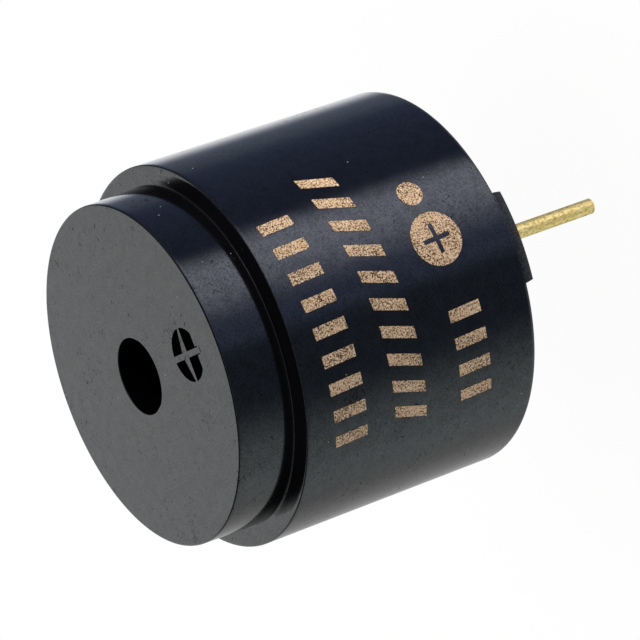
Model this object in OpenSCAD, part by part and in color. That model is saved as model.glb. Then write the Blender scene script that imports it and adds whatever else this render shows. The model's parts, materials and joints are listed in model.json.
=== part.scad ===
// Magnetic buzzer with a built-in drive circuit, for through-hole boards.
// Origin: on the body axis, at the face of the feet that rests on the board.
// +Z runs towards the sound hole, and the positive pin is at +X. Sizes in millimetres.

/* [Case] */
// Outer diameter of the body
case_d = 16; // [15.8:0.1:17]
// Height over the feet, from the board to the front face
case_h = 14; // [13.4:0.1:16]
// Thickness of the skirt round the inner stack
skirt_wall = 1; // [0.8:0.05:1.1]
// Thickness of the front wall
front_wall = 1.2; // [1:0.1:1.6]
// Diameter of the neck where it meets the shoulder
neck_d = 14.3; // [13.9:0.05:14.6]
// Height of the neck above the shoulder
neck_h = 2.55; // [2:0.05:3.2]
// Wall of the neck round the front chamber
neck_wall = 1.05; // [0.9:0.05:1.3]
// Draft of the neck, in degrees
neck_draft = 1; // [0:0.25:2]
// Chamfer that breaks the outer edges
edge_break = 0.08; // [0.04:0.01:0.15]
// Fillet in the corner between neck and shoulder
corner_fillet = 0.12; // [0.05:0.01:0.2]
// Chamfer inside the rim, which leads the stack in
rim_chamfer = 0.2; // [0.1:0.05:0.2]
// Turn of the case about the line of the pins, in degrees
case_turn = -4.3; // [-8:0.1:8]

/* [Feet] */
// Height of the feet below the rim
foot_h = 0.36; // [0.25:0.01:0.8]
// Angle that each foot spans at the rim, in degrees
foot_span = 27.8; // [20:0.1:40]
// Draft of the ends of a foot, in degrees
foot_draft = 10; // [5:1:25]

/* [Sound hole and polarity recess] */
// Diameter of the sound hole
sound_hole_d = 3.2; // [2:0.1:4]
// Diameter of the round recess with the plus sign
recess_d = 2.2; // [1.8:0.05:2.6]
// Distance from the body axis to the middle of the recess
recess_offset = 4.47; // [4.2:0.01:4.9]
// Depth of the recess
recess_depth = 0.6; // [0.3:0.05:0.8]
// Distance from the middle of the recess to the flat on its outer side
recess_flat = 0.83; // [0.7:0.01:0.95]
// Width of the plain bar of the plus, which points away from the axis
bar_w = 0.25; // [0.15:0.01:0.35]
// Length by which the plain bar passes the middle of the recess
bar_reach = 1.12; // [1.05:0.01:1.4]
// Greatest width of the pointed bar of the plus
pointed_bar_w = 0.42; // [0.25:0.01:0.5]
// Width of the pointed bar at its tips
bar_tip_w = 0.11; // [0.06:0.01:0.2]
// Width of the fine groove round the outer end of the plain bar
groove_w = 0.05; // [0.03:0.01:0.08]
// Depth of the fine groove
groove_depth = 0.1; // [0.05:0.01:0.2]

/* [Side print] */
// Thickness of the printed ink
ink_t = 0.02; // [0.01:0.005:0.04]
// Slope of the printed rows, in degrees
print_slope = 3.3; // [-5:0.1:5]
// Height of the upper row of bars above the board
upper_row_z = 9.7; // [9.2:0.05:9.9]
// Height of the middle row of bars above the board
middle_row_z = 6.85; // [6.4:0.05:7.1]
// Height of the row with the plus disc above the board
disc_row_z = 3.66; // [3:0.05:4.2]
// Diameter of the printed plus disc
disc_d = 2.25; // [1.6:0.05:2.6]
// Place of the plus disc along the row
disc_u = 0.33; // [0.2:0.01:0.5]
// Length of the bars of the printed plus
disc_plus = 1.25; // [0.8:0.05:1.5]
// Width of the bars of the printed plus
disc_plus_w = 0.2; // [0.12:0.01:0.35]
// Diameter of the printed dot
dot_d = 1.08; // [0.6:0.02:1.2]
// Place of the dot along the row
dot_u = 2.43; // [2.3:0.01:2.8]
// Height of the printed bars
mark_h = 1.5; // [1:0.05:1.6]
// Width of the printed bars
mark_w = 0.5; // [0.3:0.05:0.6]
// Distance between the printed bars
mark_pitch = 1.15; // [1:0.05:1.2]
// Lean of the bars of the middle row, in degrees
mark_lean = 20; // [0:1:25]

/* [Pins] */
// Distance between the pins
pin_pitch = 7.6; // [7:0.05:8]
// Diameter of the pins
pin_d = 0.65; // [0.5:0.05:0.8]
// Length of the pins below the board face
pin_reach = 6.5; // [3:0.1:8]
// Bevel at the free end of a pin
pin_bevel = 0.07; // [0.03:0.01:0.12]
// Diameter of the thicker root of a pin, which is soldered in the board
pin_root_d = 1; // [0.95:0.05:1.2]
// Resin that covers the step between a pin and its root
root_cover = 0.09; // [0.05:0.01:0.1]

/* [Sounder] */
// Thickness of the diaphragm
diaphragm_t = 0.1; // [0.06:0.01:0.15]
// Room above the diaphragm, under the ledge of the case
swing_room = 0.3; // [0.2:0.05:0.5]
// Width of the lip round the diaphragm
lip_w = 0.45; // [0.35:0.05:0.6]
// Width of the seat under the edge of the diaphragm
seat_w = 0.5; // [0.3:0.05:0.6]
// Diameter of the steel disc on the diaphragm
armature_d = 4.4; // [3:0.1:6]
// Thickness of the steel disc on the diaphragm
armature_t = 0.6; // [0.3:0.05:0.9]
// Gap between the pole core and the diaphragm
air_gap = 0.25; // [0.15:0.01:0.4]
// Height of the ring magnet
magnet_h = 3; // [2.6:0.1:3.4]
// Wall of the ring magnet
magnet_wall = 1.35; // [1.1:0.05:1.4]
// Height of the diaphragm above the ring magnet
seat_rise = 0.5; // [0.4:0.05:0.8]
// Thickness of the yoke plate
yoke_t = 1; // [0.7:0.05:1.2]
// Diameter of the pole core
core_d = 3; // [2.4:0.1:3.4]
// Diameter of the riveted shank of the pole core
shank_d = 2; // [1.4:0.1:2.2]
// Clearance round the pieces of the stack
stack_gap = 0.05; // [0.03:0.01:0.08]

/* [Coil] */
// Wall of the bobbin's tube
bobbin_wall = 0.3; // [0.25:0.05:0.5]
// Room between the bobbin and the magnet, where the lead wires run
lead_room = 0.6; // [0.5:0.05:0.8]
// Thickness of the bobbin's flanges
flange_t = 0.25; // [0.15:0.05:0.3]
// Depth of the windings below the rim of the flanges
winding_inset = 0.25; // [0.1:0.05:0.5]
// Height of the drive winding
drive_h = 1.45; // [1:0.05:1.5]
// Distance from the top of the bobbin to the top of the pole core
bobbin_inset = 0.15; // [0.05:0.05:0.3]
// Diameter of the lead wires
lead_d = 0.12; // [0.08:0.01:0.16]
// Bend radius of the lead wires
lead_bend = 0.2; // [0.12:0.01:0.25]
// Diameter of the lead holes in the yoke plate and the washer
lead_hole_d = 0.6; // [0.4:0.05:0.7]

/* [Circuit board] */
// Thickness of the board
board_t = 1; // [0.8:0.1:1.2]
// Thickness of the insulating washer
washer_t = 0.2; // [0.1:0.05:0.3]
// Clearance between the board and the case
board_gap = 0.1; // [0.05:0.05:0.2]
// Thickness of the copper
copper_t = 0.05; // [0.035:0.005:0.07]
// Width of the tracks
track_w = 0.35; // [0.2:0.05:0.5]
// Diameter of the pads round the pins
pin_pad_d = 1.8; // [1.6:0.1:2.2]
// Diameter of the pads round the lead wires
lead_pad_d = 1.1; // [0.9:0.05:1.2]
// Clearance of a pin or a lead in its hole in the board
hole_gap = 0.05; // [0.03:0.01:0.1]
// Height of the solder round a pin
pin_solder_h = 0.5; // [0.3:0.05:0.7]
// Height of the solder over a lead
lead_solder_h = 0.35; // [0.25:0.05:0.5]

/* [Chip parts] */
// Length of the transistor's body
transistor_l = 2.9; // [2.7:0.1:3.1]
// Width of the transistor's body
transistor_w = 1.3; // [1.2:0.1:1.4]
// Height of the transistor's body
transistor_h = 0.9; // [0.8:0.05:1]
// Distance between the transistor's two outer leads
transistor_pitch = 1.9; // [1.8:0.1:2]
// Distance of the transistor from the middle of the board
transistor_y = 1.3; // [1.1:0.1:1.6]
// Length of the chip resistor
resistor_l = 1.6; // [1.4:0.1:1.8]
// Width of the chip resistor
resistor_w = 0.8; // [0.7:0.05:0.9]
// Height of the chip resistor
resistor_h = 0.45; // [0.35:0.05:0.55]
// Distance of the resistor from the middle of the board
resistor_y = 1.5; // [1.4:0.1:1.8]
// Length of the metal caps on the resistor
cap_l = 0.3; // [0.2:0.05:0.4]
// Thickness of the metal of the caps
cap_t = 0.04; // [0.03:0.01:0.06]
// Length of the diode's body
diode_l = 1.7; // [1.6:0.05:1.8]
// Width of the diode's body
diode_w = 1.25; // [1.1:0.05:1.3]
// Height of the diode's body
diode_h = 0.85; // [0.7:0.05:0.9]
// Distance from the middle of the diode to the edge of the board
diode_inset = 2; // [1.8:0.1:2.2]
// Thickness of the leads of the transistor and the diode
leg_t = 0.12; // [0.1:0.01:0.15]
// Width of the leads of the transistor and the diode
leg_w = 0.4; // [0.3:0.05:0.5]
// Length of the foot of such a lead on its land
leg_foot = 0.3; // [0.25:0.05:0.4]
// Reach of such a lead beyond the body
leg_reach = 0.6; // [0.55:0.05:0.7]
// Copper that shows round a soldered lead
land_margin = 0.1; // [0.05:0.05:0.15]

/* [Potting] */
// Depth of the resin's face inside the rim
resin_inset = 0.4; // [0.4:0.05:0.5]
// Thickness of the resin under the board
resin_t = 1.75; // [1.6:0.05:2]
// Radius by which the resin climbs the wall of the case
resin_climb = 0.2; // [0.1:0.05:0.2]
// Radius by which the resin climbs the pins
pin_climb = 0.15; // [0.1:0.05:0.2]

/* [Hidden] */
$fn = 96;

// Extra length that carries a cut through a face
cut = 0.5;

// Radii of the case
body_r = case_d / 2;
bore_r = body_r - skirt_wall;
neck_r = neck_d / 2;
neck_tip_r = neck_r - neck_h * tan(neck_draft);
chamber_r = neck_r - neck_wall;
shoulder_z = case_h - neck_h;
rim_z = foot_h;

// Heights of the stack, from the rear upwards
resin_z = rim_z + resin_inset;
board_z = resin_z + resin_t;
washer_z = board_z + board_t;
yoke_z = washer_z + washer_t;
yoke_top = yoke_z + yoke_t;
magnet_top = yoke_top + magnet_h;
seat_z = magnet_top + seat_rise;
diaphragm_top = seat_z + diaphragm_t;
ledge_z = diaphragm_top + swing_room;
core_top = seat_z - air_gap;
bobbin_top = core_top - bobbin_inset;

// Radii of the stack, from the case inwards
stack_r = bore_r - stack_gap;
pocket_r = stack_r - lip_w;
diaphragm_r = pocket_r - stack_gap;
seat_r = pocket_r - seat_w;
magnet_r = seat_r - stack_gap;
magnet_bore_r = magnet_r - magnet_wall;
board_r = bore_r - board_gap;
tube_bore_r = core_d / 2 + stack_gap;
tube_r = tube_bore_r + bobbin_wall;
flange_r = magnet_bore_r - lead_room;
winding_r = flange_r - winding_inset;

// Windings on the bobbin
drive_z = yoke_top + flange_t;
middle_flange_z = drive_z + drive_h;
feedback_z = middle_flange_z + flange_t;
feedback_h = bobbin_top - flange_t - feedback_z;

// Lead wires, midway between the bobbin's flanges and the magnet
lead_r = lead_d / 2;
lead_place_r = (flange_r + magnet_bore_r) / 2;
lead_angles = [50, 130, 230, 310];
lead_end_z = board_z - copper_t - lead_solder_h / 2;

// Pins
pin_r = pin_d / 2;
pin_x = pin_pitch / 2;
root_r = pin_root_d / 2;
root_z = resin_z + root_cover;

// The board's underside, where the parts are soldered
land_z = board_z - copper_t;
transistor_side_y = transistor_w / 2 + leg_reach - leg_foot / 2;
diode_y = board_r - diode_inset;
diode_end_x = diode_l / 2 + leg_reach - leg_foot / 2;
resistor_end_x = (resistor_l - cap_l) / 2;

function polar(r, a) = [r * cos(a), r * sin(a)];
function lead_at(i) = polar(lead_place_r, lead_angles[i]);

// A ring between two radii
module ring(r_out, r_in, h) {
    difference() {
        cylinder(r = r_out, h = h);
        translate([0, 0, -cut]) cylinder(r = r_in, h = h + 2 * cut);
    }
}

// A block that stands on z = 0, centred on the axis
module block(x, y, z) {
    translate([-x / 2, -y / 2, 0]) cube([x, y, z]);
}

// ---------- Case ----------

// Outer form of the moulding: skirt, shoulder and neck, with broken edges
module case_body() {
    rotate_extrude() polygon([
        [0, rim_z], [body_r - edge_break, rim_z], [body_r, rim_z + edge_break],
        [body_r, shoulder_z - edge_break], [body_r - edge_break, shoulder_z], [neck_r, shoulder_z],
        [neck_tip_r, case_h - edge_break], [neck_tip_r - edge_break, case_h], [0, case_h]
    ]);
    // fillet in the corner of the shoulder
    rotate_extrude() difference() {
        translate([neck_r - corner_fillet, shoulder_z]) square([2 * corner_fillet, corner_fillet]);
        translate([neck_r + corner_fillet, shoulder_z + corner_fillet]) circle(r = corner_fillet);
    }
}

// One foot on the rim: a sector of the wall with drafted ends and a broken outer edge
module foot() {
    rim_half_w = body_r * sin(foot_span / 2);
    face_half_w = rim_half_w - foot_h * tan(foot_draft);
    root_half_w = rim_half_w + cut * tan(foot_draft);
    intersection() {
        rotate_extrude() polygon([
            [bore_r, 0], [body_r - edge_break, 0], [body_r, edge_break],
            [body_r, rim_z + cut], [bore_r, rim_z + cut]
        ]);
        rotate([90, 0, 90]) linear_extrude(body_r + cut) polygon([
            [-face_half_w, 0], [face_half_w, 0], [root_half_w, rim_z + cut], [-root_half_w, rim_z + cut]
        ]);
    }
}

// Inner form: bore for the stack up to the ledge, then the front chamber
module case_bore() {
    translate([0, 0, rim_z - cut]) cylinder(r = bore_r, h = ledge_z - rim_z + cut);
    translate([0, 0, rim_z]) cylinder(r1 = bore_r + rim_chamfer, r2 = bore_r, h = rim_chamfer);
    translate([0, 0, ledge_z - cut]) cylinder(r = chamber_r, h = case_h - front_wall - ledge_z + cut);
}

// The plus sign that stands in the recess, in plan: +X points away from the axis of the case
module recess_plus() {
    translate([-recess_d, -bar_w / 2]) square([recess_d + bar_reach, bar_w]);
    polygon([
        [bar_tip_w / 2, -recess_d / 2 - cut], [bar_tip_w / 2, recess_d / 2 + cut],
        [-bar_tip_w / 2, recess_d / 2 + cut], [-bar_tip_w / 2, recess_d / 2],
        [bar_tip_w / 2 - pointed_bar_w, 0],
        [-bar_tip_w / 2, -recess_d / 2], [-bar_tip_w / 2, -recess_d / 2 - cut]
    ]);
}

// Recess of the polarity mark: a round pocket with a flat, the plus standing in it,
// and a fine groove round the end of the plain bar
module polarity_recess() {
    translate([0, 0, case_h - recess_depth]) linear_extrude(recess_depth + cut) difference() {
        intersection() {
            circle(d = recess_d);
            translate([-recess_d, -recess_d]) square([recess_d + recess_flat, 2 * recess_d]);
        }
        recess_plus();
    }
    translate([0, 0, case_h - groove_depth]) linear_extrude(groove_depth + cut) difference() {
        translate([recess_flat, -bar_w / 2 - groove_w])
            square([bar_reach - recess_flat + groove_w, bar_w + 2 * groove_w]);
        recess_plus();
    }
}

module case() {
    color([0.10, 0.11, 0.15]) rotate([0, 0, case_turn]) difference() {
        union() {
            difference() {
                case_body();
                case_bore();
            }
            for (a = [0, 180]) rotate([0, 0, a]) foot();
        }
        translate([0, 0, case_h - front_wall - cut]) cylinder(d = sound_hole_d, h = front_wall + 2 * cut);
        translate([recess_offset, 0, 0]) polarity_recess();
    }
}

// ---------- Side print ----------

// Sets a flat shape on the side of the body, u millimetres along a sloping row
module on_side(u, row_z) {
    rotate([0, 0, u / body_r * 180 / PI]) translate([0, 0, row_z + u * tan(print_slope)])
        rotate([90, 0, 90]) linear_extrude(body_r + cut) rotate(print_slope) children();
}

module printed_bar(lean) {
    polygon([
        [-mark_w / 2 - lean, -mark_h / 2], [mark_w / 2 - lean, -mark_h / 2],
        [mark_w / 2 + lean, mark_h / 2], [-mark_w / 2 + lean, mark_h / 2]
    ]);
}

module printed_disc() {
    difference() {
        circle(d = disc_d);
        square([disc_plus, disc_plus_w], center = true);
        square([disc_plus_w, disc_plus], center = true);
    }
}

module side_print() {
    lean = mark_h / 2 * tan(mark_lean);
    color([0.80, 0.66, 0.52]) intersection() {
        ring(body_r + ink_t, body_r, shoulder_z);
        union() {
            for (i = [-5:3]) on_side((i - 0.4) * mark_pitch, upper_row_z) printed_bar(0);
            for (i = [-5:4]) on_side((i - 0.3) * mark_pitch, middle_row_z) printed_bar(lean);
            for (i = [-5:-2]) on_side((i - 0.4) * mark_pitch, disc_row_z) printed_bar(0);
            on_side(disc_u, disc_row_z) printed_disc();
            on_side(dot_u, disc_row_z) circle(d = dot_d);
        }
    }
}

// ---------- Pins ----------

// A turned pin: a thick root from the top of the board into the resin, and a bevelled free end
module pin() {
    rotate_extrude() polygon([
        [0, -pin_reach], [pin_r - pin_bevel, -pin_reach], [pin_r, -pin_reach + pin_bevel],
        [pin_r, root_z], [root_r, root_z], [root_r, washer_z], [0, washer_z]
    ]);
}

module positive_pin() {
    color([0.80, 0.68, 0.40]) translate([pin_x, 0, 0]) pin();
}

module negative_pin() {
    color([0.80, 0.68, 0.40]) translate([-pin_x, 0, 0]) pin();
}

// ---------- Sounder ----------

module diaphragm() {
    color([0.66, 0.67, 0.68]) translate([0, 0, seat_z]) cylinder(r = diaphragm_r, h = diaphragm_t);
}

module armature_disc() {
    color([0.55, 0.56, 0.58]) translate([0, 0, diaphragm_top]) cylinder(d = armature_d, h = armature_t);
}

// Ring that stands on the yoke plate and carries the diaphragm on its step
module support_ring() {
    color([0.78, 0.70, 0.45]) difference() {
        translate([0, 0, yoke_top]) ring(stack_r, seat_r, ledge_z - yoke_top);
        translate([0, 0, seat_z]) cylinder(r = pocket_r, h = ledge_z - seat_z + cut);
    }
}

module ring_magnet() {
    color([0.20, 0.20, 0.21]) translate([0, 0, yoke_top]) ring(magnet_r, magnet_bore_r, magnet_h);
}

// The lead holes run through the yoke plate and the washer
module lead_holes(d, z, h) {
    for (i = [0:3]) translate([lead_at(i)[0], lead_at(i)[1], z - cut]) cylinder(d = d, h = h + 2 * cut);
}

module yoke_plate() {
    color([0.62, 0.63, 0.64]) difference() {
        translate([0, 0, yoke_z]) ring(stack_r, shank_d / 2, yoke_t);
        lead_holes(lead_hole_d, yoke_z, yoke_t);
    }
}

// Pole core with its shank riveted through the yoke plate
module pole_core() {
    color([0.70, 0.71, 0.72]) {
        translate([0, 0, yoke_z]) cylinder(d = shank_d, h = yoke_t);
        translate([0, 0, yoke_top]) cylinder(d = core_d, h = core_top - yoke_top);
    }
}

// ---------- Coil ----------

// Bobbin with three flanges, which keep its two windings apart
module coil_bobbin() {
    color([0.90, 0.88, 0.82]) rotate_extrude() {
        translate([tube_bore_r, yoke_top]) square([bobbin_wall, bobbin_top - yoke_top]);
        for (z = [yoke_top, middle_flange_z, bobbin_top - flange_t])
            translate([tube_bore_r, z]) square([flange_r - tube_bore_r, flange_t]);
    }
}

module drive_winding() {
    color([0.72, 0.38, 0.20]) translate([0, 0, drive_z]) ring(winding_r, tube_r, drive_h);
}

module feedback_winding() {
    color([0.78, 0.45, 0.24]) translate([0, 0, feedback_z]) ring(winding_r, tube_r, feedback_h);
}

// One lead wire: out of the winding at height z, through a bend and down through the board
module lead(z) {
    bend_x = lead_place_r - lead_bend;
    difference() {
        translate([0, 0, z]) rotate([0, 90, 0]) cylinder(r = lead_r, h = bend_x);
        cylinder(r = winding_r, h = case_h);
    }
    translate([bend_x, 0, z - lead_bend]) rotate([90, 0, 0]) rotate_extrude(angle = 90)
        translate([lead_bend, 0]) circle(r = lead_r);
    translate([lead_place_r, 0, lead_end_z]) cylinder(r = lead_r, h = z - lead_bend - lead_end_z);
}

// Two leads of the drive winding and two of the feedback winding
module coil_leads() {
    color([0.72, 0.38, 0.20]) for (i = [0:3]) rotate([0, 0, lead_angles[i]])
        lead(i < 2 ? drive_z + drive_h / 2 : feedback_z + feedback_h / 2);
}

// ---------- Circuit board ----------

// The holes for the pins run through the board and its copper
module pin_holes(z, h) {
    for (x = [-pin_x, pin_x]) translate([x, 0, z - cut]) cylinder(r = root_r + hole_gap, h = h + 2 * cut);
}

module insulating_washer() {
    color([0.55, 0.42, 0.28]) difference() {
        translate([0, 0, washer_z]) cylinder(r = stack_r, h = washer_t);
        lead_holes(lead_hole_d, washer_z, washer_t);
    }
}

module circuit_board() {
    color([0.72, 0.62, 0.38]) difference() {
        translate([0, 0, board_z]) cylinder(r = board_r, h = board_t);
        pin_holes(board_z, board_t);
        lead_holes(lead_d + 2 * hole_gap, board_z, board_t);
    }
}

// A straight track with round ends
module track(a, b) {
    run = b - a;
    translate(a) rotate(atan2(run[1], run[0])) translate([0, -track_w / 2]) square([norm(run), track_w]);
    for (p = [a, b]) translate(p) circle(d = track_w);
}

// Tracks through a row of points
module track_run(points) {
    for (i = [1:len(points) - 1]) track(points[i - 1], points[i]);
}

// The land under a soldered end
module land(at, x, y) {
    translate(at) square([x + 2 * land_margin, y + 2 * land_margin], center = true);
}

// Places of the soldered ends, seen from above
collector = [0, transistor_y + transistor_side_y];
emitter = [-transistor_pitch / 2, transistor_y - transistor_side_y];
base = [transistor_pitch / 2, transistor_y - transistor_side_y];
resistor_ends = [[-resistor_end_x, -resistor_y], [resistor_end_x, -resistor_y]];
diode_ends = [[-diode_end_x, diode_y], [diode_end_x, diode_y]];
plus_pin = [pin_x, 0];
minus_pin = [-pin_x, 0];

// Copper on the board's underside: supply, ground, collector and base
module copper_plan() {
    track_run([lead_at(3), plus_pin, lead_at(0), diode_ends[1]]);
    track_run([minus_pin, emitter]);
    track_run([collector, lead_at(1), diode_ends[0]]);
    track_run([base, resistor_ends[1]]);
    track_run([resistor_ends[0], lead_at(2)]);
    for (p = [plus_pin, minus_pin]) translate(p) circle(d = pin_pad_d);
    for (i = [0:3]) translate(lead_at(i)) circle(d = lead_pad_d);
    for (p = [collector, base, emitter]) land(p, leg_w, leg_foot);
    for (p = diode_ends) land(p, leg_foot, leg_w);
    for (p = resistor_ends) land(p, cap_l, resistor_w);
}

module board_tracks() {
    color([0.80, 0.50, 0.28]) difference() {
        translate([0, 0, land_z]) linear_extrude(copper_t) copper_plan();
        pin_holes(land_z, copper_t);
        lead_holes(lead_d + 2 * hole_gap, land_z, copper_t);
    }
}

// ---------- Chip parts ----------

// Body of a chip part that hangs under the board, its top a lead's thickness below the copper
module chip_body(x, y, h) {
    translate([0, 0, land_z - leg_t - h]) block(x, y, h);
}

// A bent lead along +X, from the side of a body at x = 0 to its foot on the land
module leg(h) {
    out_z = -leg_t - h / 2;
    translate([0, leg_w / 2, land_z]) rotate([90, 0, 0]) linear_extrude(leg_w) polygon([
        [0, out_z - leg_t / 2], [leg_reach - leg_foot + leg_t, out_z - leg_t / 2],
        [leg_reach - leg_foot + leg_t, -leg_t], [leg_reach, -leg_t], [leg_reach, 0],
        [leg_reach - leg_foot, 0], [leg_reach - leg_foot, out_z + leg_t / 2], [0, out_z + leg_t / 2]
    ]);
}

module transistor_body() {
    color([0.12, 0.12, 0.13]) translate([0, transistor_y, 0])
        chip_body(transistor_l, transistor_w, transistor_h);
}

module transistor_leads() {
    color([0.78, 0.78, 0.78]) translate([0, transistor_y, 0]) {
        translate([0, transistor_w / 2, 0]) rotate([0, 0, 90]) leg(transistor_h);
        for (x = [-1, 1]) translate([x * transistor_pitch / 2, -transistor_w / 2, 0])
            rotate([0, 0, -90]) leg(transistor_h);
    }
}

// Ceramic body of the resistor, inside its two metal caps
module base_resistor() {
    color([0.88, 0.88, 0.86]) translate([0, -resistor_y, land_z - resistor_h + cap_t])
        block(resistor_l - 2 * cap_t, resistor_w - 2 * cap_t, resistor_h - 2 * cap_t);
}

// The caps before they are hollowed, hung from the lands
module cap_blocks() {
    for (x = [-1, 1]) translate([x * resistor_end_x, -resistor_y, land_z])
        mirror([0, 0, 1]) block(cap_l, resistor_w, resistor_h);
}

module resistor_caps() {
    color([0.78, 0.78, 0.78]) difference() {
        cap_blocks();
        base_resistor();
    }
}

module clamp_diode() {
    color([0.12, 0.12, 0.13]) translate([0, diode_y, 0]) chip_body(diode_l, diode_w, diode_h);
}

module diode_leads() {
    color([0.78, 0.78, 0.78]) translate([0, diode_y, 0]) for (a = [0, 180]) rotate([0, 0, a])
        translate([diode_l / 2, 0, 0]) leg(diode_h);
}

// ---------- Solder and resin ----------

// A solder joint round a wire: a cone on the pad, and the solder drawn up into the hole
module solder_joint(wire_r, pad_d, h) {
    translate([0, 0, land_z]) {
        mirror([0, 0, 1]) cylinder(r1 = pad_d / 2 - land_margin, r2 = wire_r + hole_gap, h = h);
        cylinder(r = wire_r + hole_gap, h = copper_t + board_t);
    }
}

module pin_joints() {
    for (x = [-pin_x, pin_x]) translate([x, 0, 0]) solder_joint(root_r, pin_pad_d, pin_solder_h);
}

module lead_joints() {
    for (i = [0:3]) translate(lead_at(i)) solder_joint(lead_r, lead_pad_d, lead_solder_h);
}

// Solder that holds the pins in the board
module pin_solder() {
    color([0.75, 0.76, 0.78]) difference() {
        pin_joints();
        for (x = [-pin_x, pin_x]) translate([x, 0, root_z])
            cylinder(r = root_r, h = washer_z - root_z + cut);
    }
}

// Solder that covers the ends of the lead wires
module lead_solder() {
    color([0.75, 0.76, 0.78]) difference() {
        lead_joints();
        coil_leads();
    }
}

// The resin as it would be with nothing in it: it climbs the wall of the case and the pins a little
module resin_block() {
    translate([0, 0, resin_z]) cylinder(r = bore_r, h = resin_t);
    rotate_extrude() difference() {
        translate([bore_r - resin_climb, resin_z - resin_climb]) square([resin_climb, 2 * resin_climb]);
        translate([bore_r - resin_climb, resin_z - resin_climb]) circle(r = resin_climb);
    }
    for (x = [-pin_x, pin_x]) translate([x, 0, 0]) rotate_extrude() difference() {
        translate([0, resin_z - pin_climb]) square([pin_r + pin_climb, 2 * pin_climb]);
        translate([pin_r + pin_climb, resin_z - pin_climb]) circle(r = pin_climb);
    }
}

// The resin fills the room between the pieces. Each piece is cut out whole, without the holes that
// another one fills, so that no thin skin of resin is left between two pieces that touch.
module potting_resin() {
    color([0.09, 0.09, 0.10]) difference() {
        resin_block();
        for (x = [-pin_x, pin_x]) translate([x, 0, 0]) pin();
        pin_joints();
        coil_leads();
        lead_joints();
        translate([0, 0, land_z]) linear_extrude(copper_t + cut) copper_plan();
        transistor_body();
        transistor_leads();
        base_resistor();
        cap_blocks();
        clamp_diode();
        diode_leads();
    }
}

case();
side_print();
positive_pin();
negative_pin();
diaphragm();
armature_disc();
support_ring();
ring_magnet();
yoke_plate();
pole_core();
coil_bobbin();
drive_winding();
feedback_winding();
coil_leads();
insulating_washer();
circuit_board();
board_tracks();
transistor_body();
transistor_leads();
base_resistor();
resistor_caps();
clamp_diode();
diode_leads();
pin_solder();
lead_solder();
potting_resin();
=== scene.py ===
# %% [markdown]
# # A magnetic buzzer for a circuit board
# The buzzer is a black moulded can, 16 mm across and 14 mm high, that stands on two small feet.
# A diaphragm inside it sounds through the hole in the front face.
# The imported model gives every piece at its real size. This notebook adds what the eye looks for:
# smooth glossy curves with broken edges, a worn print, brass-coloured pins, and real finishes.

import json
import math

import bpy
from mathutils import Matrix, Vector


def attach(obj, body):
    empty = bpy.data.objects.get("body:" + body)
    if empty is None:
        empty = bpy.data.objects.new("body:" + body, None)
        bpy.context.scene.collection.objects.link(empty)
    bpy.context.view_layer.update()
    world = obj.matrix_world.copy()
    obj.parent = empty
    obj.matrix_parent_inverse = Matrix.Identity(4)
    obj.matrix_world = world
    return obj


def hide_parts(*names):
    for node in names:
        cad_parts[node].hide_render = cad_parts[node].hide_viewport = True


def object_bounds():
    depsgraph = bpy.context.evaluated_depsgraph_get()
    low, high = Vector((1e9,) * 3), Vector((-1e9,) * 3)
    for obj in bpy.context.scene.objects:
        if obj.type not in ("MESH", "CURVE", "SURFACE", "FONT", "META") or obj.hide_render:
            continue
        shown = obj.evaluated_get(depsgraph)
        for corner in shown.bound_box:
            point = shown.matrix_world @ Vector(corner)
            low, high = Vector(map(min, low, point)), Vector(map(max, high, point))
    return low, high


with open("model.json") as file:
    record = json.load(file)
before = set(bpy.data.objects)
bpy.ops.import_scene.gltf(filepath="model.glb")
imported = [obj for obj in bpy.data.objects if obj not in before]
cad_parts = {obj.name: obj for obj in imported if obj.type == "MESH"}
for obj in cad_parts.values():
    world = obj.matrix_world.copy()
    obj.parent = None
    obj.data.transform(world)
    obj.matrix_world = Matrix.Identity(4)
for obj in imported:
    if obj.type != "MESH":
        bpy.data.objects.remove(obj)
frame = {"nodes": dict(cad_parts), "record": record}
cad_box = [list(corner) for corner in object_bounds()]
nodes = frame["nodes"]
print("nodes:", len(nodes), "box:", cad_box)

# %% [markdown]
# ## Sizes
# Blender works in metres and the buzzer is drawn in millimetres, so the sizes of its pieces are
# written in millimetres and multiplied by MM where they are used. Only the studio shell and the
# lamps, which are far larger, are in metres. Heights start at the face of the feet.

# %% Sizes of the case
MM = 0.001
SIDE_R = 8.0  # outer wall
BORE_R = 7.0  # inside of the skirt, round the works
CHAMBER_R = 6.1  # inside of the neck, in front of the diaphragm
NECK_R = 7.15  # neck where it leaves the shoulder
TIP_R = 7.105  # neck at the front face, after its draft
HOLE_R = 1.6  # sound hole
RIM_Z = 0.36  # open rim at the rear, lifted by the feet
LEDGE_Z = 8.61  # ledge over the diaphragm
SHOULDER_Z = 11.45
CHAMBER_Z = 12.8  # underside of the front wall
FRONT_Z = 14.0
EDGE_BREAK = 0.06  # outer edges
HOLE_BREAK = 0.03  # edge of the sound hole
BORE_BREAK = 0.19  # lead-in at the rear of the bore
CORNER_FILLET = 0.05  # corner between neck and shoulder
CASE_TURN = math.radians(-4.3)  # the case sits a little turned about its pins
print("case:", 2 * SIDE_R, "x", FRONT_Z, "mm")

# %% [markdown]
# ## Camera
# A long lens about 16 cm away looks down on the sound hole from one side. The camera is rolled, so
# that the buzzer lies on its side in the view with the pins pointing to the right.

# %% Camera
camera = bpy.data.objects.new("camera", bpy.data.cameras.new("camera"))
bpy.context.scene.collection.objects.link(camera)
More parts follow.
